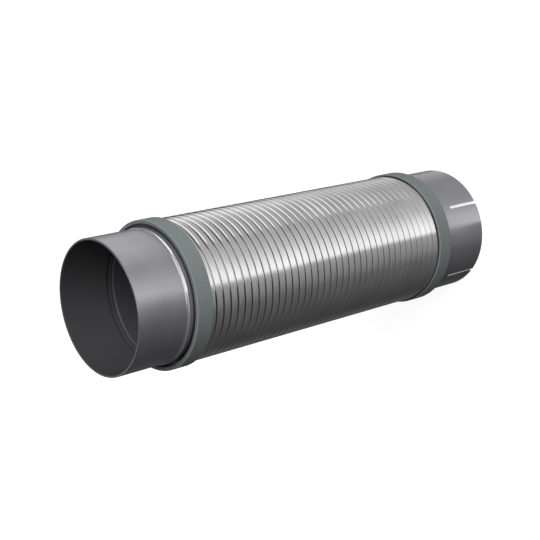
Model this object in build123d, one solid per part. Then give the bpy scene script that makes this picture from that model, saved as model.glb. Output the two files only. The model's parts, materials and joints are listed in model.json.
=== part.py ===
"""Truck exhaust flexible pipe: a stripwound hose between two steel cuffs, each held by a collar."""

import math
import os

from build123d import *

# Overall frame: the pipe stands on its slotted end, with its axis on +Z and z = 0 at that end.
overall_length = 460.0

# Steel tube that both cuffs are cut from, with a nominal 5 inch outside.
tube_diameter = 127.0
tube_wall = 2.0

# How far each cuff shows outside its collar, and how far its tail runs on past the collar.
plain_reach = 57.4
slotted_reach = 59.6
tail_overlap = 13.0

# Rolled bead on the plain cuff: sloping flanks, and between them low ridges side by side with
# shallow valleys. It is tucked under the collar's edge by bead_tuck.
flank_width = 1.2
ridge_width = 3.2
ridge_height = 0.9
ridge_valley = 0.75
ridge_count = 2
bead_tuck = 2.0

# Slotted cuff: its end is opened out to slip over a pipe of the tube's size under a clamp.
slip_clearance = 0.3
cone_length = 4.0
slot_count = 5
slot_width = 3.1
slot_length = 42.0
first_slot_angle = -90.0

# Collars: bands pressed round the hose ends, each with a lip turned in over the hose's cut end.
collar_width = 17.6
collar_wall = 2.0
collar_edge = 0.8
lip_gap = 3.9

# Stripwound hose: one steel strip folded to an S and wound so that each turn hooks into the next.
strip_thickness = 0.4
strip_pitch = 8.41
fold_height = 5.1
outer_groove = 0.35
inner_groove = 0.6
fold_clearance = 0.35
bend_chamfer = 0.35
winding_angle = -13.6
turns_per_span = 2

# Radial play between the hose and the cuff tail inside it, and the collar outside it.
seat_clearance = 0.2

# Radii and heights that follow from the sizes above.
tube_radius = tube_diameter / 2
tube_bore = tube_radius - tube_wall
slip_bore = tube_radius + slip_clearance
slip_radius = slip_bore + tube_wall
hose_inner = tube_radius + seat_clearance
hose_outer = hose_inner + fold_height
collar_inner = hose_outer + seat_clearance
collar_outer = collar_inner + collar_wall
lip_radius = tube_radius + lip_gap
plain_collar_top = overall_length - plain_reach
plain_collar_bottom = plain_collar_top - collar_width
slotted_collar_bottom = slotted_reach
slotted_collar_top = slotted_collar_bottom + collar_width
hose_bottom = slotted_collar_bottom + collar_wall + seat_clearance
hose_top = plain_collar_top - collar_wall - seat_clearance
cone_top = hose_bottom - seat_clearance
cone_bottom = cone_top - cone_length


def turned(outline):
    """A solid of revolution about Z from a closed outline drawn in (radius, height)."""
    return revolve(Plane.XZ * make_face(outline), Axis.Z)


def beaded_wall(radius, bead_bottom):
    """One wall line of the plain cuff, top to bottom, with the bead's ridges as arcs."""
    lowest = bead_bottom + flank_width
    valley = radius + ridge_valley
    ends = [(valley, lowest + ridge_width * i) for i in range(ridge_count, -1, -1)]
    bead_top = ends[0][1] + flank_width
    wall = [
        Line((radius, overall_length), (radius, bead_top)),
        Line((radius, bead_top), ends[0]),
    ]
    for upper, lower in zip(ends, ends[1:]):
        crest = (radius + ridge_height, (upper[1] + lower[1]) / 2)
        wall.append(ThreePointArc(upper, crest, lower))
    wall.append(Line(ends[-1], (radius, bead_bottom)))
    wall.append(Line((radius, bead_bottom), (radius, plain_collar_bottom - tail_overlap)))
    return wall


def make_plain_cuff():
    """Plain tube with a rolled bead, its tail inside the hose."""
    bead_bottom = plain_collar_top - bead_tuck
    outside = beaded_wall(tube_radius, bead_bottom)
    inside = beaded_wall(tube_bore, bead_bottom)
    rim = Line((tube_bore, overall_length), (tube_radius, overall_length))
    tail_end = plain_collar_bottom - tail_overlap
    foot = Line((tube_bore, tail_end), (tube_radius, tail_end))
    return turned([*outside, *inside, rim, foot])


def make_slotted_cuff():
    """Tube opened out at its lower end, with slots that let a clamp close it on a pipe."""
    tail_end = slotted_collar_top + tail_overlap
    outline = Polyline(
        (slip_bore, 0),
        (slip_radius, 0),
        (slip_radius, cone_bottom),
        (tube_radius, cone_top),
        (tube_radius, tail_end),
        (tube_bore, tail_end),
        (tube_bore, cone_top),
        (slip_bore, cone_bottom),
        close=True,
    )
    slot = Pos(slip_bore + tube_wall / 2, 0, slot_length / 2) * Box(
        3 * tube_wall, slot_width, slot_length
    )
    cuff = turned(outline)
    for i in range(slot_count):
        cuff -= Rot(0, 0, first_slot_angle + 360 / slot_count * i) * slot
    return cuff


def make_collar(lip_end, open_end):
    """Band between two heights with softened edges, and its lip turned in at lip_end."""
    lip_back = lip_end + math.copysign(collar_wall, open_end - lip_end)
    outline = Polyline(
        (lip_radius, lip_end),
        (collar_outer, lip_end),
        (collar_outer, open_end),
        (collar_inner, open_end),
        (collar_inner, lip_back),
        (lip_radius, lip_back),
        close=True,
    )
    section = make_face(outline)
    outer_corners = section.vertices().filter_by(lambda v: v.X > collar_inner + collar_wall / 2)
    return revolve(Plane.XZ * fillet(outer_corners, collar_edge), Axis.Z)


def strip_section():
    """The strip's S section in (radius, height): outer hook and band, web, inner band and hook."""
    t = strip_thickness
    c = bend_chamfer
    web = strip_pitch - outer_groove
    inner_end = web - t + strip_pitch - inner_groove
    hook_tip = hose_inner + t + fold_clearance
    inner_hook_tip = hose_outer - t - fold_clearance
    outline = Polyline(
        (hook_tip, 0),
        (hose_outer - c, 0),
        (hose_outer, c),
        (hose_outer, web - c),
        (hose_outer - c, web),
        (hose_inner + t, web),
        (hose_inner + t, inner_end - t),
        (inner_hook_tip, inner_end - t),
        (inner_hook_tip, inner_end),
        (hose_inner, inner_end),
        (hose_inner, web - t),
        (hose_outer - t, web - t),
        (hose_outer - t, t),
        (hook_tip, t),
        close=True,
    )
    return Plane.XZ * make_face(outline)


def make_hose():
    """The strip wound on a helix, cut square at both ends as the real hose is sawn to length."""
    section = strip_section()
    section_height = section.bounding_box().size.Z
    span_height = turns_per_span * strip_pitch
    span = Helix(strip_pitch, span_height, (hose_inner + hose_outer) / 2)
    span_count = math.ceil((hose_top - hose_bottom + section_height) / span_height) + 1
    path = Wire([(Pos(0, 0, span_height * i) * span).edge() for i in range(span_count)])
    centred = Pos(0, 0, -section_height / 2) * section.face()
    wound = Solid.sweep(centred, path, is_frenet=True)
    start = hose_bottom - section_height / 2
    sawn = Pos(0, 0, hose_bottom) * Cylinder(
        collar_outer, hose_top - hose_bottom, align=(Align.CENTER, Align.CENTER, Align.MIN)
    )
    return Rot(0, 0, winding_angle) * Pos(0, 0, start) * wound & sawn


parts = {
    "flexible_hose": make_hose(),
    "plain_cuff": make_plain_cuff(),
    "slotted_cuff": make_slotted_cuff(),
    "plain_end_collar": make_collar(plain_collar_top, plain_collar_bottom),
    "slotted_end_collar": make_collar(slotted_collar_bottom, slotted_collar_top),
}

os.makedirs("parts", exist_ok=True)
for name, shape in parts.items():
    export_step(shape, f"parts/{name}.step")
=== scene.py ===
"""Truck exhaust flexible pipe: its surfaces, finishes, light and camera, laid out as an add-on."""

import json
import math

import bmesh
import bpy
import numpy as np
from bpy.props import FloatProperty, FloatVectorProperty, IntProperty, PointerProperty
from bpy.types import NodeSocket, Operator, Panel, PropertyGroup
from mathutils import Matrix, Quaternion, Vector


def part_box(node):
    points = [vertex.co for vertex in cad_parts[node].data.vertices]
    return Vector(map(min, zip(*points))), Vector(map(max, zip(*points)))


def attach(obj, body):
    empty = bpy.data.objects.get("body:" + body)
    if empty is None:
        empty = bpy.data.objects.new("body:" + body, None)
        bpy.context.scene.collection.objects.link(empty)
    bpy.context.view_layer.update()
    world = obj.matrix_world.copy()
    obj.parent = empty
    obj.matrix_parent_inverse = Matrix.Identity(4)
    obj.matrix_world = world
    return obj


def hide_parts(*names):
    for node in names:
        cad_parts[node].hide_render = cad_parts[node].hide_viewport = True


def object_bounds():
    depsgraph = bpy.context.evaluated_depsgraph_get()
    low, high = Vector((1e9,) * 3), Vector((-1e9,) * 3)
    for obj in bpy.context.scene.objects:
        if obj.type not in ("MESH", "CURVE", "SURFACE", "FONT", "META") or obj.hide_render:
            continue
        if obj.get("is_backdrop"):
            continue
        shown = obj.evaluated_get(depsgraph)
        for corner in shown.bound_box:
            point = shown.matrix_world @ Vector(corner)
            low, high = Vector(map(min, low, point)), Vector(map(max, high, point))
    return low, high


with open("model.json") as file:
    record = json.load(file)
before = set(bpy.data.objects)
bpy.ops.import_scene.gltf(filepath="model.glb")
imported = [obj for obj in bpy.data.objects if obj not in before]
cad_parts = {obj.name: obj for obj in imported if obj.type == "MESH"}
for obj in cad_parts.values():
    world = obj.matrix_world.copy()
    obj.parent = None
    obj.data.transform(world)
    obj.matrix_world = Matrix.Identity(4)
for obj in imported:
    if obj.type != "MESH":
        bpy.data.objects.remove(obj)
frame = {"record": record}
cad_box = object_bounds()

bl_info = {
    "name": "Exhaust flexible pipe",
    "version": (1, 0, 0),
    "blender": (4, 5, 0),
    "location": "View3D > Sidebar > Exhaust pipe",
    "description": "Builds a stripwound exhaust pipe with its cuffs and collars",
    "category": "Add Mesh",
}

MM = 0.001
TURN = 2 * math.pi
BODY = "root"

# Segments round the pipe, and along the rounded stretches of a profile.
HOSE_SEGMENTS = 64
WALL_SEGMENTS = 240
BEND_SEGMENTS = 3
CROWN_SEGMENTS = 6
HIDDEN_SEGMENTS = 2
TIGHT_SEGMENTS = 1
BEAD_SEGMENTS = 44
COLLAR_SEGMENTS = 5
RIM_SEGMENTS = 2

# Rows of faces along the plain cuff past its bead, and along the slots of the other.
TUBE_ROWS = 4
SLOT_ROWS = 3

# Angles of the points that go once round a wall.
WALL_ANGLES = np.arange(WALL_SEGMENTS) * TURN / WALL_SEGMENTS

# Two faces that meet at more than this angle have their edge rounded.
SHARP_ANGLE = math.radians(40)

# Straight stretch between the crown and the bend beside it.
STRAIGHT = 0.05 * MM

# Allowance for rounding where two heights are compared.
TOLERANCE = 0.01 * MM

# Size of each pattern's grains in x, y and z, so that lines run along the longer sides.
ROLLER_LINES = (60 * MM, 60 * MM, 0.6 * MM)
STRIP_PATCHES = (25 * MM, 25 * MM, 25 * MM)
MILL_LINES = (1.5 * MM, 1.5 * MM, 80 * MM)
TUBE_PATCHES = (30 * MM, 30 * MM, 30 * MM)
CRYSTALS = (1 * MM, 1 * MM, 1 * MM)

# Stretch of a noise's values that is spread over 0 to 1, since the values past it are rare.
NOISE_LOW = 0.3
NOISE_HIGH = 0.7

# Widths over which one finish runs into the next, and over which the painted shade and the bead's
# painted highlight run into the skin.
FOLD_SHADE_BLEND = 0.1 * MM
END_SHADE_BLEND = 3 * MM
BORE_BLEND = 0.4 * MM
BEAD_BLEND = 0.2 * MM
COAT_BLEND = 0.3 * MM

# How far the lines spread the roughness, and how much of it burnishing takes off, as shares of it.
STRIP_SPREAD = 0.5
TUBE_SPREAD = 0.25
BURNISHED_SHARE = 0.5

# Places of a colour Mix node's inputs and output, whose names the node gives to other sockets too.
MIX_A = 6
MIX_B = 7
MIXED = 2

# Steps that settle where a card shows in the pipe's wall.
CARD_STEPS = 3

# Softboxes by name: degrees from the camera's side, degrees up from the middle of the pipe,
# distance, width and height in metres, power in watts, and whether it lights matt surfaces or
# shows in glossy ones. The low one and the back one stand on the floor.
LAMPS = (
    ("key", 36, 50, 4.0, 3.2, 3.2, 275, "matt"),
    ("low", 88, -11.0, 0.71, 0.9, 0.19, 0.5, "glossy"),
    ("front", 16, 42, 1.6, 2.0, 2.0, 12, "glossy"),
    ("back", 180, 12, 0.9, 0.9, 0.84, 1.9, "glossy"),
    ("fill", 180, 30, 3.0, 1.2, 1.2, 30, "matt"),
)

# Brightness of the cards that lie round the pipe, by the degrees round the pipe's wall at which
# they show, doubled, from the camera's side.
CARDS = (
    (-180, 0.05),
    (-150, 0.05),
    (-144, 0.065),
    (-128, 0.036),
    (-112, 0.033),
    (-80, 0.055),
    (-48, 0.09),
    (-32, 0.17),
    (-10, 0.25),
    (-5, 0.78),
    (10, 0.66),
    (18, 0.56),
    (32, 0.40),
    (50, 0.315),
    (96, 0.27),
    (112, 0.33),
    (128, 0.42),
    (144, 0.30),
    (150, 0.06),
    (156, 0.01),
    (180, 0.005),
)


def mount_size(name, size):
    """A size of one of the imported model's mounts, in metres."""
    found = next(m for m in frame["record"]["mounts"] if m["name"] == name)
    return found["dims"][size] * MM


def direction(azimuth, elevation):
    """The unit vector at azimuth a round Z and elevation e: (cos a cos e, sin a cos e, sin e)."""
    level = math.cos(elevation)
    return Vector((level * math.cos(azimuth), level * math.sin(azimuth), math.sin(elevation)))


def linear(colour):
    """An sRGB hex colour as linear red, green, blue and alpha.

    The sRGB curve is a straight line near black and a power of 2.4 above it.
    """
    channels = np.array([int(colour[i : i + 2], 16) for i in (1, 3, 5)]) / 255
    low = channels / 12.92
    high = ((channels + 0.055) / 1.055) ** 2.4
    return (*np.where(channels <= 0.04045, low, high).tolist(), 1.0)


def new_piece(name, vertices, quads, material, node):
    """A smooth mesh object that stands for a node, with outward faces, riding on the body."""
    mesh = bpy.data.meshes.new(name)
    mesh.vertices.add(len(vertices))
    mesh.vertices.foreach_set("co", vertices.ravel())
    mesh.loops.add(quads.size)
    mesh.loops.foreach_set("vertex_index", quads.ravel())
    mesh.polygons.add(len(quads))
    mesh.polygons.foreach_set("loop_start", np.arange(len(quads)) * quads.shape[1])
    mesh.update(calc_edges=True)
    mesh.shade_smooth()
    mesh.materials.append(material)
    piece = bpy.data.objects.new(name, mesh)
    bpy.context.scene.collection.objects.link(piece)
    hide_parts(node)
    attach(piece, BODY)
    return piece


def finish_edges(piece, width):
    """Rounds the sharp edges of a piece and keeps its broad faces even."""
    bevel = piece.modifiers.new("Rounded edges", "BEVEL")
    bevel.width = width
    bevel.segments = RIM_SEGMENTS
    bevel.limit_method = "ANGLE"
    bevel.angle_limit = SHARP_ANGLE
    piece.modifiers.new("Even faces", "WEIGHTED_NORMAL")


def rounded_loop(rows):
    """A closed outline of (radius, height) points, from rows of a corner, its bend and segments.

    A corner with a bend turns into an arc of that radius, which starts and ends at the bend over
    the tangent of half the corner's angle from it. The arc's centre lies on the corner's
    bisector, and its points are evenly spaced in angle.
    """
    corners = np.array([row[:2] for row in rows], float)
    outline = []
    for i, (corner, (_, _, bend, segments)) in enumerate(zip(corners, rows)):
        if bend == 0:
            outline.append(corner[None])
            continue
        back = corners[i - 1] - corner
        ahead = corners[(i + 1) % len(corners)] - corner
        back /= np.linalg.norm(back)
        ahead /= np.linalg.norm(ahead)
        half = math.acos(float(back @ ahead)) / 2
        bisector = (back + ahead) / np.linalg.norm(back + ahead)
        centre = corner + bisector * bend / math.sin(half)
        start = corner + back * bend / math.tan(half) - centre
        end = corner + ahead * bend / math.tan(half) - centre
        spread = math.pi - 2 * half
        angle = np.linspace(0, spread, segments + 1)[:, None]
        arc = start * np.sin(spread - angle) + end * np.sin(angle)
        outline.append(centre + arc / math.sin(spread))
    return np.concatenate(outline)


def loop_quads(rows, columns, closed):
    """Quads of a grid whose columns close on themselves, and whose rows do if closed."""
    vertex = np.arange(rows * columns).reshape(rows, columns)
    beside = np.roll(vertex, -1, axis=1)
    above, above_beside = np.roll(vertex, -1, axis=0), np.roll(beside, -1, axis=0)
    quads = np.stack([vertex, above, above_beside, beside], -1)
    return quads[: rows if closed else rows - 1].reshape(-1, 4)


def round_axis(angle, radius, height):
    """Points of a grid about the Z axis: x = r cos a, y = r sin a, z = height.

    Each of the three is given for the rows, for the columns or for both.
    """
    angle, radius, height = np.broadcast_arrays(angle, radius, height)
    return np.stack([radius * np.cos(angle), radius * np.sin(angle), height], -1).reshape(-1, 3)


def turned_ring(outline):
    """An outline of (radius, height) carried once round the Z axis at even steps."""
    points = round_axis(WALL_ANGLES[:, None], outline[:, 0], outline[:, 1])
    return points, loop_quads(WALL_SEGMENTS, len(outline), True)


def wall_quads(solid):
    """Quads of a closed wall between an outer and an inner grid, from the cells that are solid.

    Both grids close round in columns. A solid cell gives an outer and an inner quad, and each of
    its four sides that has no solid neighbour gives a quad across the wall.
    """
    rows, columns = solid.shape
    vertex = np.arange((rows + 1) * columns).reshape(rows + 1, columns)
    beside = np.roll(vertex, -1, axis=1)
    corners = np.stack([vertex[:-1], beside[:-1], beside[1:], vertex[1:]], -1)
    inner = vertex.size
    outside = corners[solid]
    stacked = np.pad(solid, ((1, 1), (0, 0)))
    open_sides = [
        solid & ~stacked[:-2],
        solid & ~np.roll(solid, -1, axis=1),
        solid & ~stacked[2:],
        solid & ~np.roll(solid, 1, axis=1),
    ]
    quads = [outside, outside[:, ::-1] + inner]
    for i, side in enumerate(open_sides):
        start, end = corners[side][:, i], corners[side][:, (i + 1) % 4]
        quads.append(np.stack([end, start, start + inner, end + inner], -1))
    return np.concatenate(quads)


def add_node(tree, kind, inputs=None, **settings):
    """A node with its settings, and each named input set to a value or linked from a socket."""
    node = tree.nodes.new(kind)
    for name, value in settings.items():
        setattr(node, name, value)
    for name, value in (inputs or {}).items():
        if isinstance(value, NodeSocket):
            tree.links.new(value, node.inputs[name])
        else:
            node.inputs[name].default_value = value
    return node


def new_material(name):
    """An empty node material, its tree and its output node."""
    material = bpy.data.materials.new(name)
    material.use_nodes = True
    tree = material.node_tree
    tree.nodes.clear()
    return material, tree, add_node(tree, "ShaderNodeOutputMaterial")


def grain(tree, size, detail):
    """Noise with grains of size (x, y, z) in metres, the middle of its range spread over 0 to 1."""
    place = add_node(tree, "ShaderNodeTexCoord").outputs["Object"]
    scale = tuple(1 / s for s in size)
    scaled = add_node(tree, "ShaderNodeMapping", {"Vector": place, "Scale": scale})
    inputs = {"Vector": scaled.outputs["Vector"], "Scale": 1.0, "Detail": detail}
    noise = add_node(tree, "ShaderNodeTexNoise", inputs).outputs["Fac"]
    inputs = {"Value": noise, "From Min": NOISE_LOW, "From Max": NOISE_HIGH}
    return add_node(tree, "ShaderNodeMapRange", inputs).outputs["Result"]


def beyond(tree, radius, blend):
    """A mask by distance from the pipe's axis: 0 up to radius, and 1 from blend metres past it."""
    place = add_node(tree, "ShaderNodeTexCoord").outputs["Object"]
    flat = add_node(tree, "ShaderNodeVectorMath", {0: place, 1: (1, 1, 0)}, operation="MULTIPLY")
    away = add_node(tree, "ShaderNodeVectorMath", {0: flat.outputs["Vector"]}, operation="LENGTH")
    inputs = {"Value": away.outputs["Value"], "From Min": radius, "From Max": radius + blend}
    return add_node(tree, "ShaderNodeMapRange", inputs).outputs["Result"]


def rolled_stainless_strip(settings, low, high):
    """Cold-rolled stainless strip, bright from the mill's polished rolls.

    The winding rollers leave faint lines along the strip, so the gloss is a little broken up
    across each band. Real lines are under 0.1 mm apart, and are drawn at 0.6 mm so that they show.
    Deep in its folds, and near its sawn ends which the collars hide, the strip is painted dark
    and matt as painted shade. The hose's box is from low to high.
    """
    material, tree, output = new_material("Cold rolled stainless strip")
    lines = grain(tree, ROLLER_LINES, detail=3.0)
    patches = grain(tree, STRIP_PATCHES, detail=2.0)
    skin = add_node(
        tree,
        "ShaderNodeMix",
        {"Factor": patches, MIX_A: settings.dull_colour, MIX_B: settings.colour},
        data_type="RGBA",
    )
    # Painted shade near both sawn ends, in the recess under the collars: dark and not metallic.
    place = add_node(tree, "ShaderNodeTexCoord").outputs["Object"]
    height = add_node(tree, "ShaderNodeSeparateXYZ", {"Vector": place}).outputs["Z"]
    middle = (low.z + high.z) / 2
    offset = add_node(tree, "ShaderNodeMath", {0: height, 1: middle}, operation="SUBTRACT")
    away = add_node(tree, "ShaderNodeMath", {0: offset.outputs["Value"]}, operation="ABSOLUTE")
    reach = (high.z - low.z) / 2 - settings.end_shade_length
    clear_of_end_shade = add_node(
        tree,
        "ShaderNodeMapRange",
        {"Value": away.outputs["Value"], "From Min": reach, "From Max": reach - END_SHADE_BLEND},
    )
    # Painted shade deep in the folds, where the grooves lie in shade.
    inside = beyond(tree, high.x - settings.fold_height + settings.fold_shade_depth, FOLD_SHADE_BLEND)
    outside = beyond(tree, high.x - settings.fold_shade_depth, FOLD_SHADE_BLEND)
    fold = add_node(tree, "ShaderNodeMath", {0: inside, 1: outside}, operation="SUBTRACT")
    unshaded = add_node(
        tree,
        "ShaderNodeMath",
        {0: clear_of_end_shade.outputs["Result"], 1: fold.outputs["Value"]},
        operation="SUBTRACT",
        use_clamp=True,
    )
    # 1 on the bright strip, and 0 where the painted shade is.
    bright = unshaded.outputs["Value"]
    colour = add_node(
        tree,
        "ShaderNodeMix",
        {"Factor": bright, MIX_A: settings.shade_colour, MIX_B: skin.outputs[MIXED]},
        data_type="RGBA",
    )
    roughness = add_node(
        tree,
        "ShaderNodeMath",
        {
            0: lines,
            1: settings.roughness * STRIP_SPREAD,
            2: settings.roughness * (1 - STRIP_SPREAD / 2),
        },
        operation="MULTIPLY_ADD",
    )
    bump = add_node(tree, "ShaderNodeBump", {"Height": lines, "Distance": settings.line_depth})
    shader = add_node(
        tree,
        "ShaderNodeBsdfPrincipled",
        {
            "Base Color": colour.outputs[MIXED],
            "Metallic": bright,
            "Roughness": roughness.outputs["Value"],
            "Normal": bump.outputs["Normal"],
        },
    )
    tree.links.new(shader.outputs["BSDF"], output.inputs["Surface"])
    return material


def welded_tube_steel(settings, bore_radius, bead_radius):
    """Welded steel tube, satin and bluish grey from the skin-pass rolls, painted dark in its bore.

    The tube mill leaves faint lines along the tube, drawn 1.5 mm wide so that they show. The bore,
    up to bore_radius from the tube's axis, is painted dark and less metallic as painted shade. The
    rolled bead, what stands out past bead_radius, is smoother from the beading rollers and is
    painted lighter than the skin as a painted highlight.
    """
    material, tree, output = new_material("Welded tube steel")
    lines = grain(tree, MILL_LINES, detail=2.0)
    patches = grain(tree, TUBE_PATCHES, detail=2.0)
    # Painted shade: the bore is painted dark and less metallic.
    clear_of_bore_shade = beyond(tree, bore_radius, BORE_BLEND)
    # The bead is smoother from the rollers, and is painted lighter as a painted highlight.
    burnished_and_highlight = beyond(tree, bead_radius, BEAD_BLEND)
    metallic = add_node(
        tree, "ShaderNodeMath", {0: clear_of_bore_shade, 1: settings.metallic}, operation="MULTIPLY"
    )
    skin = add_node(
        tree,
        "ShaderNodeMix",
        {"Factor": patches, MIX_A: settings.dull_colour, MIX_B: settings.colour},
        data_type="RGBA",
    )
    bright = add_node(
        tree,
        "ShaderNodeMix",
        {"Factor": burnished_and_highlight, MIX_A: skin.outputs[MIXED], MIX_B: settings.bead_highlight_colour},
        data_type="RGBA",
    )
    colour = add_node(
        tree,
        "ShaderNodeMix",
        {"Factor": clear_of_bore_shade, MIX_A: settings.bore_shade_colour, MIX_B: bright.outputs[MIXED]},
        data_type="RGBA",
    )
    lined = add_node(
        tree,
        "ShaderNodeMath",
        {
            0: lines,
            1: settings.roughness * TUBE_SPREAD,
            2: settings.roughness * (1 - TUBE_SPREAD / 2),
        },
        operation="MULTIPLY_ADD",
    )
    roughness = add_node(
        tree,
        "ShaderNodeMath",
        {0: burnished_and_highlight, 1: -settings.roughness * BURNISHED_SHARE, 2: lined.outputs["Value"]},
        operation="MULTIPLY_ADD",
    )
    bump = add_node(tree, "ShaderNodeBump", {"Height": lines, "Distance": settings.line_depth})
    shader = add_node(
        tree,
        "ShaderNodeBsdfPrincipled",
        {
            "Base Color": colour.outputs[MIXED],
            "Metallic": metallic.outputs["Value"],
            "Roughness": roughness.outputs["Value"],
            "Normal": bump.outputs["Normal"],
        },
    )
    tree.links.new(shader.outputs["BSDF"], output.inputs["Surface"])
    return material


def phosphated_steel(settings, coat_radius):
    """Phosphated steel band: a matt grey-green crystal coat with an even, slightly mottled look.

    The crystals are far finer than the render shows, so they are drawn 1 mm across. The lip and
    the band's end were cut after coating and show bare dark steel, up to coat_radius.
    """
    material, tree, output = new_material("Phosphated steel")
    crystals = grain(tree, CRYSTALS, detail=3.0)
    mottled = add_node(
        tree,
        "ShaderNodeMix",
        {"Factor": crystals, MIX_A: settings.dull_colour, MIX_B: settings.colour},
        data_type="RGBA",
    )
    coated = beyond(tree, coat_radius, COAT_BLEND)
    colour = add_node(
        tree,
        "ShaderNodeMix",
        {"Factor": coated, MIX_A: settings.bare_colour, MIX_B: mottled.outputs[MIXED]},
        data_type="RGBA",
    )
    bump = add_node(
        tree, "ShaderNodeBump", {"Height": crystals, "Distance": settings.crystal_depth}
    )
    shader = add_node(
        tree,
        "ShaderNodeBsdfPrincipled",
        {
            "Base Color": colour.outputs[MIXED],
            "Roughness": settings.roughness,
            "Specular IOR Level": settings.specular,
            "Normal": bump.outputs["Normal"],
        },
    )
    tree.links.new(shader.outputs["BSDF"], output.inputs["Surface"])
    return material


def card_position(tree, settings):
    """Where a point of the floor lies across the cards: 0.5 at the camera's side, 0 and 1 behind.

    A card's edge is the straight line on the floor that shows along the pipe's wall at an angle a
    from the camera's side. From the wall it runs off at 2a, so at a distance d from the axis and
    an angle b round it, 2a = b + arcsin(sin(a) radius / d), which is solved in steps.
    """
    place = add_node(tree, "ShaderNodeTexCoord").outputs["Object"]
    turned = add_node(
        tree,
        "ShaderNodeMapping",
        {"Vector": place, "Rotation": (0, 0, -settings.camera_azimuth)},
    )
    round_pipe = add_node(
        tree,
        "ShaderNodeTexGradient",
        {"Vector": turned.outputs["Vector"]},
        gradient_type="RADIAL",
    )
    bearing = add_node(
        tree,
        "ShaderNodeMath",
        {0: round_pipe.outputs["Fac"], 1: TURN, 2: -TURN / 2},
        operation="MULTIPLY_ADD",
    ).outputs["Value"]
    away = add_node(tree, "ShaderNodeVectorMath", {0: place}, operation="LENGTH")
    nearness = add_node(
        tree,
        "ShaderNodeMath",
        {0: settings.card_radius, 1: away.outputs["Value"]},
        operation="DIVIDE",
    ).outputs["Value"]
    doubled = bearing
    for _ in range(CARD_STEPS):
        half = add_node(tree, "ShaderNodeMath", {0: doubled, 1: 0.5}, operation="MULTIPLY")
        sine = add_node(tree, "ShaderNodeMath", {0: half.outputs["Value"]}, operation="SINE")
        share = add_node(
            tree, "ShaderNodeMath", {0: sine.outputs["Value"], 1: nearness}, operation="MULTIPLY"
        )
        bend = add_node(
            tree, "ShaderNodeMath", {0: share.outputs["Value"]}, operation="ARCSINE"
        )
        doubled = add_node(
            tree, "ShaderNodeMath", {0: bearing, 1: bend.outputs["Value"]}, operation="ADD"
        ).outputs["Value"]
    return add_node(
        tree, "ShaderNodeMath", {0: doubled, 1: 1 / TURN, 2: 0.5}, operation="MULTIPLY_ADD"
    ).outputs["Value"]


def studio_floor(settings):
    """Matt floor, with white, grey and black cards lying round the pipe.

    The cards show in the metal alone: seen by the camera the floor is white and keeps a faint
    shadow.
    """
    material, tree, output = new_material("Studio floor")
    cards = add_node(tree, "ShaderNodeValToRGB", {"Fac": card_position(tree, settings)})
    stops = cards.color_ramp.elements
    while len(stops) > 1:
        stops.remove(stops[0])
    stops[0].position = 0
    for degrees, _ in CARDS[1:]:
        stops.new(0.5 + degrees / 360)
    for stop, (_, level) in zip(stops, CARDS):
        stop.color = (level, level, level, 1)
    mirrored = add_node(
        tree,
        "ShaderNodeEmission",
        {"Color": cards.outputs["Color"], "Strength": settings.card_strength},
    )
    bounce = settings.floor_bounce
    matt = add_node(tree, "ShaderNodeBsdfDiffuse", {"Color": (bounce, bounce, bounce, 1)})
    glow = add_node(tree, "ShaderNodeEmission", {"Strength": settings.floor_glow})
    seen = add_node(
        tree, "ShaderNodeAddShader", {0: glow.outputs["Emission"], 1: matt.outputs["BSDF"]}
    )
    ray = add_node(tree, "ShaderNodeLightPath")
    lit = add_node(
        tree,
        "ShaderNodeMixShader",
        {
            0: ray.outputs["Is Glossy Ray"],
            1: matt.outputs["BSDF"],
            2: mirrored.outputs["Emission"],
        },
    )
    shown = add_node(
        tree,
        "ShaderNodeMixShader",
        {
            0: ray.outputs["Is Camera Ray"],
            1: lit.outputs["Shader"],
            2: seen.outputs["Shader"],
        },
    )
    tree.links.new(shown.outputs["Shader"], output.inputs["Surface"])
    return material


class StageSettings(PropertyGroup):
    """Where the camera stands, and how the studio is lit."""

    camera_azimuth: FloatProperty(
        name="Camera azimuth",
        description="Direction from the pipe's axis to the camera",
        default=math.radians(-105.8),
        subtype="ANGLE",
    )
    camera_distance: FloatProperty(
        name="Camera distance",
        description="Distance from the pipe's axis to the camera",
        default=0.892,
        unit="LENGTH",
    )
    camera_height: FloatProperty(
        name="Camera height",
        description="Height of the camera above the floor",
        default=1.0004,
        unit="LENGTH",
    )
    aim_azimuth: FloatProperty(
        name="Aim azimuth",
        description="Direction round the vertical axis that the camera looks in",
        default=math.radians(74.363),
        subtype="ANGLE",
    )
    aim_depression: FloatProperty(
        name="Aim depression",
        description="How far the camera looks down",
        default=math.radians(39.862),
        subtype="ANGLE",
    )
    roll: FloatProperty(
        name="Roll",
        description="Turn of the camera about its own line of sight",
        default=math.radians(-103.52),
        subtype="ANGLE",
    )
    lens: FloatProperty(
        name="Lens",
        description="Focal length of the camera in millimetres",
        default=77.392,
        unit="CAMERA",
    )
    floor_radius: FloatProperty(
        name="Floor radius",
        description="Radius of the round floor",
        default=5.0,
        unit="LENGTH",
    )
    floor_glow: FloatProperty(
        name="Floor glow",
        description="Brightness of the floor as the camera sees it, before the lamps' light",
        default=0.86,
    )
    card_strength: FloatProperty(
        name="Card strength",
        description="Brightness of a card whose listed level is 1",
        default=2.0,
    )
    card_radius: FloatProperty(
        name="Card radius",
        description="Radius of the pipe's wall that the cards are laid out for",
        default=0.067,
        unit="LENGTH",
    )
    floor_bounce: FloatProperty(
        name="Floor bounce",
        description="Share of the lamps' light that the floor gives back",
        default=0.25,
        subtype="FACTOR",
    )
    world_level: FloatProperty(
        name="World level",
        description="Brightness of the even light from all round on matt surfaces",
        default=0.10,
    )
    world_gloss: FloatProperty(
        name="World gloss",
        description="Brightness of the room as it shows in glossy surfaces",
        default=0.03,
    )


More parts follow.
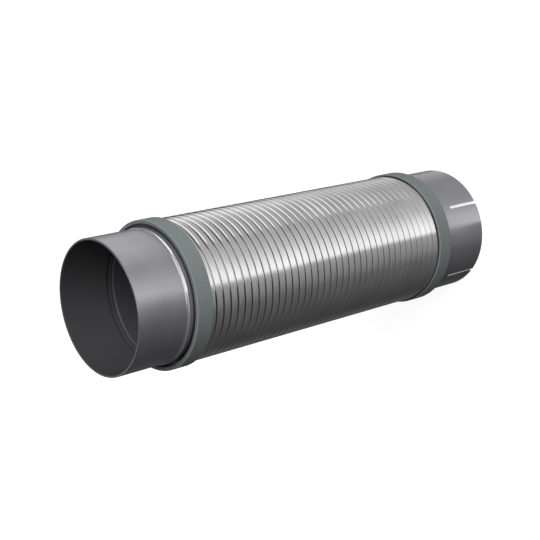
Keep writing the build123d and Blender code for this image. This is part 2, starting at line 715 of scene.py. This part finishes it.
class HoseSettings(PropertyGroup):
    """The steel strip and how it is folded and wound."""

    thickness: FloatProperty(
        name="Strip thickness",
        description="Thickness of the steel strip",
        default=0.4 * MM,
        unit="LENGTH",
    )
    pitch: FloatProperty(
        name="Pitch",
        description="Height that the strip climbs in one turn",
        default=8.41 * MM,
        unit="LENGTH",
    )
    fold_height: FloatProperty(
        name="Fold height",
        description="Radial height of the folded strip",
        default=5.1 * MM,
        unit="LENGTH",
    )
    outer_groove: FloatProperty(
        name="Outer groove",
        description="Width of the groove between two turns outside",
        default=0.35 * MM,
        unit="LENGTH",
    )
    inner_groove: FloatProperty(
        name="Inner groove",
        description="Width of the groove between two turns inside",
        default=0.6 * MM,
        unit="LENGTH",
    )
    fold_clearance: FloatProperty(
        name="Fold clearance",
        description="Play between a hook and the turn that holds it",
        default=0.35 * MM,
        unit="LENGTH",
    )
    bend_radius: FloatProperty(
        name="Bend radius",
        description="Outside radius of the strip's bends",
        default=0.5 * MM,
        unit="LENGTH",
    )
    crown_radius: FloatProperty(
        name="Crown radius",
        description="Radius at which the outer band's upper half curves down to the groove",
        default=8.0 * MM,
        unit="LENGTH",
    )
    crown_slope: FloatProperty(
        name="Crown slope",
        description="Slope that the outer band has reached at the groove",
        default=math.radians(27),
        subtype="ANGLE",
    )
    winding_angle: FloatProperty(
        name="Winding angle",
        description="Turn of the whole winding about the pipe's axis",
        default=math.radians(-13.6),
        subtype="ANGLE",
    )
    colour: FloatVectorProperty(
        name="Colour",
        description="Colour of the bright strip",
        size=4,
        min=0,
        max=1,
        default=linear("#d2d2d2"),
        subtype="COLOR",
    )
    dull_colour: FloatVectorProperty(
        name="Dull colour",
        description="Colour of its duller patches",
        size=4,
        min=0,
        max=1,
        default=linear("#c6c6c6"),
        subtype="COLOR",
    )
    # Painted shade: how deep in the folds the strip is painted dark.
    fold_shade_depth: FloatProperty(
        name="Fold shade depth",
        description="Depth below the outer and inner bands at which the strip is painted dark as shade",
        default=1.3 * MM,
        unit="LENGTH",
    )
    # Painted shade: how far from each sawn end the strip is painted dark.
    end_shade_length: FloatProperty(
        name="End shade length",
        description="Length of the painted shade from each end of the hose",
        default=7 * MM,
        unit="LENGTH",
    )
    # Painted shade: the dark colour used in the folds and near the ends.
    shade_colour: FloatVectorProperty(
        name="Shade colour",
        description="Colour of the painted shade in the folds and near the ends",
        size=4,
        min=0,
        max=1,
        default=linear("#3a3a3d"),
        subtype="COLOR",
    )
    roughness: FloatProperty(
        name="Roughness",
        description="Roughness of the strip",
        default=0.16,
        subtype="FACTOR",
    )
    line_depth: FloatProperty(
        name="Line depth",
        description="Depth of the roller lines along the strip",
        default=0.0015 * MM,
        unit="LENGTH",
    )


class CuffSettings(PropertyGroup):
    """The two steel tubes at the ends of the hose."""

    wall: FloatProperty(
        name="Wall",
        description="Wall thickness of the tube",
        default=2.0 * MM,
        unit="LENGTH",
    )
    rim_edge: FloatProperty(
        name="Rim edge",
        description="Radius of the deburred edges of the rims and slots",
        default=0.6 * MM,
        unit="LENGTH",
    )
    flank_width: FloatProperty(
        name="Flank width",
        description="Width of each sloping flank of the rolled bead",
        default=1.2 * MM,
        unit="LENGTH",
    )
    ridge_width: FloatProperty(
        name="Ridge width",
        description="Width of each ridge of the rolled bead",
        default=3.2 * MM,
        unit="LENGTH",
    )
    ridge_height: FloatProperty(
        name="Ridge height",
        description="Height of each ridge of the rolled bead",
        default=0.9 * MM,
        unit="LENGTH",
    )
    ridge_valley: FloatProperty(
        name="Ridge valley",
        description="Height of the bead between two ridges",
        default=0.65 * MM,
        unit="LENGTH",
    )
    ridge_count: IntProperty(
        name="Ridge count",
        description="Number of ridges in the rolled bead",
        default=2,
    )
    cone_length: FloatProperty(
        name="Cone length",
        description="Length of the cone where the slotted cuff is opened out",
        default=4.0 * MM,
        unit="LENGTH",
    )
    slot_count: IntProperty(
        name="Slot count",
        description="Number of slots in the slotted cuff",
        default=5,
    )
    slot_width: FloatProperty(
        name="Slot width",
        description="Width of each slot",
        default=3.1 * MM,
        unit="LENGTH",
    )
    slot_length: FloatProperty(
        name="Slot length",
        description="Length of each slot from the rim",
        default=42.0 * MM,
        unit="LENGTH",
    )
    first_slot_angle: FloatProperty(
        name="First slot",
        description="Direction of the first slot from the pipe's axis",
        default=math.radians(-90),
        subtype="ANGLE",
    )
    colour: FloatVectorProperty(
        name="Colour",
        description="Colour of the tube's skin",
        size=4,
        min=0,
        max=1,
        default=linear("#a0a0a5"),
        subtype="COLOR",
    )
    dull_colour: FloatVectorProperty(
        name="Dull colour",
        description="Colour of its duller patches",
        size=4,
        min=0,
        max=1,
        default=linear("#98989d"),
        subtype="COLOR",
    )
    # Painted highlight: the bead's colour, lighter than the skin.
    bead_highlight_colour: FloatVectorProperty(
        name="Bead highlight colour",
        description="Colour of the rolled bead, painted lighter as a highlight",
        size=4,
        min=0,
        max=1,
        default=linear("#d0d0d3"),
        subtype="COLOR",
    )
    # Painted shade: the dark colour of the bore.
    bore_shade_colour: FloatVectorProperty(
        name="Bore shade colour",
        description="Colour of the painted shade in the bore",
        size=4,
        min=0,
        max=1,
        default=linear("#3c3c3e"),
        subtype="COLOR",
    )
    metallic: FloatProperty(
        name="Metallic",
        description="Share of the tube's skin that reflects as bare metal",
        default=0.85,
        subtype="FACTOR",
    )
    roughness: FloatProperty(
        name="Roughness",
        description="Roughness of the tube's skin",
        default=0.34,
        subtype="FACTOR",
    )
    line_depth: FloatProperty(
        name="Line depth",
        description="Depth of the mill lines along the tube",
        default=0.002 * MM,
        unit="LENGTH",
    )


class CollarSettings(PropertyGroup):
    """The bands pressed round the hose ends."""

    wall: FloatProperty(
        name="Wall",
        description="Wall thickness of the band",
        default=2.0 * MM,
        unit="LENGTH",
    )
    edge: FloatProperty(
        name="Edge",
        description="Radius of the band's softened edges",
        default=0.8 * MM,
        unit="LENGTH",
    )
    lip_gap: FloatProperty(
        name="Lip gap",
        description="Gap between the tube and the lip that is turned in over the hose's end",
        default=3.9 * MM,
        unit="LENGTH",
    )
    lip_edge: FloatProperty(
        name="Lip edge",
        description="Radius of the lip's inner edges",
        default=0.3 * MM,
        unit="LENGTH",
    )
    colour: FloatVectorProperty(
        name="Colour",
        description="Colour of the phosphate coat",
        size=4,
        min=0,
        max=1,
        default=linear("#777e7d"),
        subtype="COLOR",
    )
    dull_colour: FloatVectorProperty(
        name="Dull colour",
        description="Colour of its darker crystals",
        size=4,
        min=0,
        max=1,
        default=linear("#6c7372"),
        subtype="COLOR",
    )
    bare_colour: FloatVectorProperty(
        name="Bare colour",
        description="Colour of the bare steel of the lip",
        size=4,
        min=0,
        max=1,
        default=linear("#54585a"),
        subtype="COLOR",
    )
    roughness: FloatProperty(
        name="Roughness",
        description="Roughness of the coat",
        default=0.75,
        subtype="FACTOR",
    )
    specular: FloatProperty(
        name="Specular",
        description="How strongly the porous coat mirrors, where 0.5 is a smooth coat",
        default=0.15,
        subtype="FACTOR",
    )
    crystal_depth: FloatProperty(
        name="Crystal depth",
        description="Depth between the crystals of the coat",
        default=0.006 * MM,
        unit="LENGTH",
    )


class EXHAUST_OT_stage(Operator):
    """Lays the floor, hangs the lamps and sets up the camera"""

    bl_idname = "exhaust.stage"
    bl_label = "Stage"

    def execute(self, context):
        settings = context.scene.exhaust_stage
        self.lay_floor(context, settings)
        self.light_world(context, settings)
        for softbox in LAMPS:
            self.hang_lamp(context, settings, softbox)
        self.place_camera(context, settings)
        return {"FINISHED"}

    def lay_floor(self, context, settings):
        """A flat disc, z = 0, that the pipe stands on."""
        rim = round_axis(WALL_ANGLES, settings.floor_radius, 0)
        mesh = bpy.data.meshes.new("floor")
        mesh.from_pydata(rim.tolist(), [], [list(range(WALL_SEGMENTS))])
        mesh.materials.append(studio_floor(settings))
        floor = bpy.data.objects.new("floor", mesh)
        context.scene.collection.objects.link(floor)
        floor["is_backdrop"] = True

    def light_world(self, context, settings):
        """Even grey light from all round, darker in glossy surfaces and white to the camera."""
        world = bpy.data.worlds.new("Studio")
        world.use_nodes = True
        tree = world.node_tree
        tree.nodes.clear()
        ray = add_node(tree, "ShaderNodeLightPath")
        indirect = add_node(
            tree,
            "ShaderNodeMapRange",
            {
                "Value": ray.outputs["Is Glossy Ray"],
                "To Min": settings.world_level,
                "To Max": settings.world_gloss,
            },
        )
        strength = add_node(
            tree,
            "ShaderNodeMapRange",
            {
                "Value": ray.outputs["Is Camera Ray"],
                "To Min": indirect.outputs["Result"],
                "To Max": 1.0,
            },
        )
        light = add_node(
            tree,
            "ShaderNodeBackground",
            {"Color": (1, 1, 1, 1), "Strength": strength.outputs["Result"]},
        )
        output = add_node(tree, "ShaderNodeOutputWorld")
        tree.links.new(light.outputs["Background"], output.inputs["Surface"])
        context.scene.world = world

    def hang_lamp(self, context, settings, softbox):
        """A softbox that faces the middle of the pipe, from its row in LAMPS."""
        name, degrees, elevation, distance, width, height, power, use = softbox
        data = bpy.data.lights.new(name, "AREA")
        data.shape = "RECTANGLE"
        data.energy = power
        data.size, data.size_y = width, height
        lamp = bpy.data.objects.new(name, data)
        azimuth = settings.camera_azimuth + math.radians(degrees)
        away = direction(azimuth, math.radians(elevation))
        low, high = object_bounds()
        lamp.location = (low + high) / 2 + away * distance
        lamp.rotation_euler = away.to_track_quat("Z", "Y").to_euler()
        lamp.visible_camera = False
        lamp.visible_diffuse = use == "matt"
        lamp.visible_glossy = use == "glossy"
        context.scene.collection.objects.link(lamp)

    def place_camera(self, context, settings):
        """The camera at its place round the pipe's axis, aimed and then rolled."""
        data = bpy.data.cameras.new("camera")
        data.lens = settings.lens
        camera = bpy.data.objects.new("camera", data)
        camera.location = (
            settings.camera_distance * math.cos(settings.camera_azimuth),
            settings.camera_distance * math.sin(settings.camera_azimuth),
            settings.camera_height,
        )
        aim = direction(settings.aim_azimuth, -settings.aim_depression)
        upright = aim.to_track_quat("-Z", "Y")
        rolled = upright @ Quaternion((0, 0, 1), settings.roll)
        camera.rotation_euler = rolled.to_euler()
        context.scene.collection.objects.link(camera)
        context.scene.camera = camera


class EXHAUST_OT_hose(Operator):
    """Winds the folded strip into the hose and saws it square at both ends"""

    bl_idname = "exhaust.hose"
    bl_label = "Hose"

    def execute(self, context):
        settings = context.scene.exhaust_hose
        low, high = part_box("flexible_hose")
        outline = self.section(settings, high.x)
        points, quads = self.wind(settings, outline, low.z, high.z)
        piece = new_piece(
            "hose",
            points,
            quads,
            rolled_stainless_strip(settings, low, high),
            "flexible_hose",
        )
        self.saw(piece, low.z, -1)
        self.saw(piece, high.z, 1)
        piece.modifiers.new("Even faces", "WEIGHTED_NORMAL")
        return {"FINISHED"}

    def section(self, settings, outside):
        """The strip's S section in (radius, height), with arcs at its bends.

        The outer band's upper half is crowned: it curves down at the crown's radius until it has
        the crown's slope, and then meets the bend over the web. An arc ends its radius times the
        tangent of half its turn away from its corner, and that places the crown's corner.
        """
        t = settings.thickness
        inside = outside - settings.fold_height
        web = settings.pitch - settings.outer_groove
        end = web - t + settings.pitch - settings.inner_groove
        hook = inside + t + settings.fold_clearance
        wide, tight = settings.bend_radius, settings.bend_radius - t
        seen, hidden, sharp = BEND_SEGMENTS, HIDDEN_SEGMENTS, TIGHT_SEGMENTS
        crown, slope = settings.crown_radius, settings.crown_slope
        half = math.tan(slope / 2)
        straight = wide * math.tan(math.pi / 4 - slope / 2) + STRAIGHT
        crown_height = web - (crown * half + straight) * math.cos(slope)
        edge = outside - (crown * half + straight) * math.sin(slope)
        under_height = crown_height - t * half
        under_edge = outside - t - (web - t - under_height) * math.tan(slope)
        inner_hook = under_edge - settings.fold_clearance
        # Radius, height, bend and segments of each corner, anticlockwise from the outer hook.
        rows = [
            (hook, 0, 0, 0),
            (outside, 0, wide, seen),
            (outside, crown_height, crown, CROWN_SEGMENTS),
            (edge, web, wide, seen),
            (inside + t, web, tight, sharp),
            (inside + t, end - t, tight, sharp),
            (inner_hook, end - t, 0, 0),
            (inner_hook, end, 0, 0),
            (inside, end, wide, hidden),
            (inside, web - t, wide, hidden),
            (under_edge, web - t, tight, sharp),
            (outside - t, under_height, crown - t, sharp),
            (outside - t, t, tight, sharp),
            (hook, t, 0, 0),
        ]
        return rounded_loop(rows)

    def wind(self, settings, outline, bottom, top):
        """The section carried along a helix that reaches past both heights, for the saw.

        After an angle a, a section point (r, h) lies at x = r cos(a + start), y = r sin(a + start)
        and z = first + h + pitch times a in turns. The helix starts one segment before the
        section's upper end reaches the bottom, and ends once its lower end has passed the top.
        """
        climb = outline[:, 1].max()
        turns = (top - bottom + climb) / settings.pitch
        steps = math.ceil(turns * HOSE_SEGMENTS) + 2
        angle = (np.arange(steps)[:, None] - 1) * TURN / HOSE_SEGMENTS
        first = bottom - climb
        height = first + settings.pitch * angle / TURN + outline[:, 1]
        points = round_axis(angle + settings.winding_angle, outline[:, 0], height)
        return points, loop_quads(steps, len(outline), False)

    def saw(self, piece, height, side):
        """Cuts the winding off flat beyond a height and closes the cut face."""
        work = bmesh.new()
        work.from_mesh(piece.data)
        cut = bmesh.ops.bisect_plane(
            work,
            geom=[*work.verts, *work.edges, *work.faces],
            plane_co=(0, 0, height),
            plane_no=(0, 0, side),
            clear_outer=True,
        )
        rim = [e for e in cut["geom_cut"] if isinstance(e, bmesh.types.BMEdge)]
        bmesh.ops.triangle_fill(work, edges=rim, use_beauty=True, normal=(0, 0, side))
        work.to_mesh(piece.data)
        work.free()


class EXHAUST_OT_plain_cuff(Operator):
    """Makes the plain cuff with its rolled bead"""

    bl_idname = "exhaust.plain_cuff"
    bl_label = "Plain cuff"

    def execute(self, context):
        settings = context.scene.exhaust_cuff
        low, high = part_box("plain_cuff")
        radius = mount_size("plain_end", "r_mm")
        bead_top = high.z - mount_size("plain_end", "length_mm")
        bead_bottom = bead_top - self.bead_width(settings)
        beaded = np.linspace(bead_bottom, bead_top, BEAD_SEGMENTS + 1)
        plain = np.linspace(bead_top, high.z, TUBE_ROWS + 1)[1:]
        height = np.concatenate([[low.z], beaded, plain])[:, None]
        swell = self.bead(settings, height, bead_bottom)
        outer = round_axis(WALL_ANGLES, radius + swell, height)
        inner = round_axis(WALL_ANGLES, radius - settings.wall + swell, height)
        solid = np.ones((len(height) - 1, WALL_SEGMENTS), bool)
        # Painted shade in the bore, and a painted highlight on the bead past the tube's radius.
        piece = new_piece(
            "plain_cuff_tube",
            np.concatenate([outer, inner]),
            wall_quads(solid),
            welded_tube_steel(settings, radius - settings.wall + settings.ridge_height, radius),
            "plain_cuff",
        )
        finish_edges(piece, settings.rim_edge)
        return {"FINISHED"}

    def bead_width(self, settings):
        """Width of the whole bead, from foot to foot."""
        return 2 * settings.flank_width + settings.ridge_count * settings.ridge_width

    def bead(self, settings, height, bottom):
        """How far the wall swells out at each height.

        A flank rises as half a cosine wave from 0 to the valley's height. Between the flanks each
        ridge is a whole cosine wave over the square root of the way up the ridge, from the
        valley's height to the crest's and back, so that its longer side faces the open end.
        """
        crest, valley = settings.ridge_height, settings.ridge_valley
        along = np.clip(height - bottom, 0, self.bead_width(settings))
        from_edge = np.minimum(along, self.bead_width(settings) - along)
        rise = np.clip(from_edge / settings.flank_width, 0, 1)
        flank = valley * (1 - np.cos(math.pi * rise)) / 2
        ridges = (along - settings.flank_width) / settings.ridge_width
        way = np.sqrt(np.clip(ridges, 0, settings.ridge_count) % 1)
        return flank + (crest - valley) * (1 - np.cos(TURN * way)) / 2


class EXHAUST_OT_slotted_cuff(Operator):
    """Makes the opened-out cuff with its clamp slots"""

    bl_idname = "exhaust.slotted_cuff"
    bl_label = "Slotted cuff"

    def execute(self, context):
        settings = context.scene.exhaust_cuff
        low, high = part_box("slotted_cuff")
        tube = mount_size("plain_end", "r_mm")
        slip = mount_size("slotted_end", "r_mm") + settings.wall
        cone_bottom = mount_size("slotted_end", "length_mm")
        cone_top = cone_bottom + settings.cone_length
        slots = np.linspace(low.z, settings.slot_length, SLOT_ROWS + 1)
        height = np.concatenate([slots, [cone_bottom, cone_top, high.z]])
        radius = np.interp(height, [cone_bottom, cone_top], [slip, tube])
        inside = radius - settings.wall
        # Nothing stands out past the cuff's own outside, so no part of it gets the bead's smoother
        # finish or painted highlight. Its bore is painted dark as painted shade.
        material = welded_tube_steel(settings, slip - settings.wall, high.x)
        outer = round_axis(self.angles(settings, radius), radius[:, None], height[:, None])
        inner = round_axis(self.angles(settings, inside), inside[:, None], height[:, None])
        piece = new_piece(
            "slotted_cuff_tube",
            np.concatenate([outer, inner]),
            wall_quads(self.cells(settings, height)),
            material,
            "slotted_cuff",
        )
        finish_edges(piece, settings.rim_edge)
        return {"FINISHED"}

    def columns(self, settings):
        """How many columns of points each tongue between two slots has."""
        return WALL_SEGMENTS // settings.slot_count

    def angles(self, settings, radius):
        """The angle of each point, evenly spaced over each tongue between two slots.

        A slot's flat side lies half its width from its middle plane, so its angle from the middle
        is the arc sine of half the width over the radius.
        """
        half = np.arcsin(settings.slot_width / 2 / radius)[:, None, None]
        spacing = TURN / settings.slot_count
        slot = settings.first_slot_angle + spacing * np.arange(settings.slot_count)[:, None]
        across = np.linspace(0, 1, self.columns(settings))
        return (slot + half + across * (spacing - 2 * half)).reshape(len(radius), -1)

    def cells(self, settings, height):
        """Which cells of the wall are steel: all but the slots between the tongues."""
        count = self.columns(settings)
        solid = np.ones((len(height) - 1, count * settings.slot_count), bool)
        slotted = height[1:] <= settings.slot_length + TOLERANCE
        solid[np.ix_(slotted, np.arange(1, settings.slot_count + 1) * count - 1)] = False
        return solid


class EXHAUST_OT_collars(Operator):
    """Makes the two bands round the hose ends, each with its lip at the end away from the hose"""

    bl_idname = "exhaust.collars"
    bl_label = "Collars"

    def execute(self, context):
        settings = context.scene.exhaust_collar
        pipe_low, pipe_high = cad_box
        material = phosphated_steel(settings, pipe_high.x - settings.edge)
        middle = (pipe_low.z + pipe_high.z) / 2
        for node in ("plain_end_collar", "slotted_end_collar"):
            low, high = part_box(node)
            points, quads = turned_ring(self.section(settings, low, high, low.z > middle))
            piece = new_piece(node + "_band", points, quads, material, node)
            piece.modifiers.new("Even faces", "WEIGHTED_NORMAL")
        return {"FINISHED"}

    def section(self, settings, low, high, lip_on_top):
        """The band's L section in (radius, height), anticlockwise, with its corners rounded."""
        outside, inside = high.x, high.x - settings.wall
        lip = mount_size("plain_end", "r_mm") + settings.lip_gap
        edge, lip_edge = settings.edge, settings.lip_edge
        corners = [
            (lip, low.z, lip_edge),
            (outside, low.z, edge),
            (outside, high.z, edge),
            (inside, high.z, lip_edge),
            (inside, low.z + settings.wall, lip_edge),
            (lip, low.z + settings.wall, lip_edge),
        ]
        if lip_on_top:
            corners = [(r, low.z + high.z - z, edge) for r, z, edge in reversed(corners)]
        return rounded_loop([(*corner, COLLAR_SEGMENTS) for corner in corners])


class EXHAUST_PT_panel(Panel):
    """Lists the pipe's pieces and their sizes in the sidebar"""

    bl_label = "Exhaust pipe"
    bl_idname = "EXHAUST_PT_panel"
    bl_space_type = "VIEW_3D"
    bl_region_type = "UI"
    bl_category = "Exhaust pipe"

    def draw(self, context):
        for operator in OPERATORS:
            self.layout.operator(operator.bl_idname)
        for name in SETTINGS:
            group = getattr(context.scene, name)
            box = self.layout.box()
            for key in group.bl_rna.properties.keys():
                if key not in ("rna_type", "name"):
                    box.prop(group, key)


OPERATORS = (
    EXHAUST_OT_stage,
    EXHAUST_OT_hose,
    EXHAUST_OT_plain_cuff,
    EXHAUST_OT_slotted_cuff,
    EXHAUST_OT_collars,
)
SETTINGS = {
    "exhaust_stage": StageSettings,
    "exhaust_hose": HoseSettings,
    "exhaust_cuff": CuffSettings,
    "exhaust_collar": CollarSettings,
}


def register():
    """Registers the settings, operators and panel."""
    for name, group in SETTINGS.items():
        bpy.utils.register_class(group)
        setattr(bpy.types.Scene, name, PointerProperty(type=group))
    for cls in (*OPERATORS, EXHAUST_PT_panel):
        bpy.utils.register_class(cls)


def unregister():
    """Takes them out again, last first."""
    for cls in (EXHAUST_PT_panel, *reversed(OPERATORS)):
        bpy.utils.unregister_class(cls)
    for name, group in reversed(SETTINGS.items()):
        delattr(bpy.types.Scene, name)
        bpy.utils.unregister_class(group)


def main():
    """Registers the add-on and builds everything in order."""
    register()
    bpy.context.scene.view_settings.view_transform = "Standard"
    bpy.ops.exhaust.stage()
    bpy.ops.exhaust.hose()
    bpy.ops.exhaust.plain_cuff()
    bpy.ops.exhaust.slotted_cuff()
    bpy.ops.exhaust.collars()


if __name__ == "__main__":
    main()
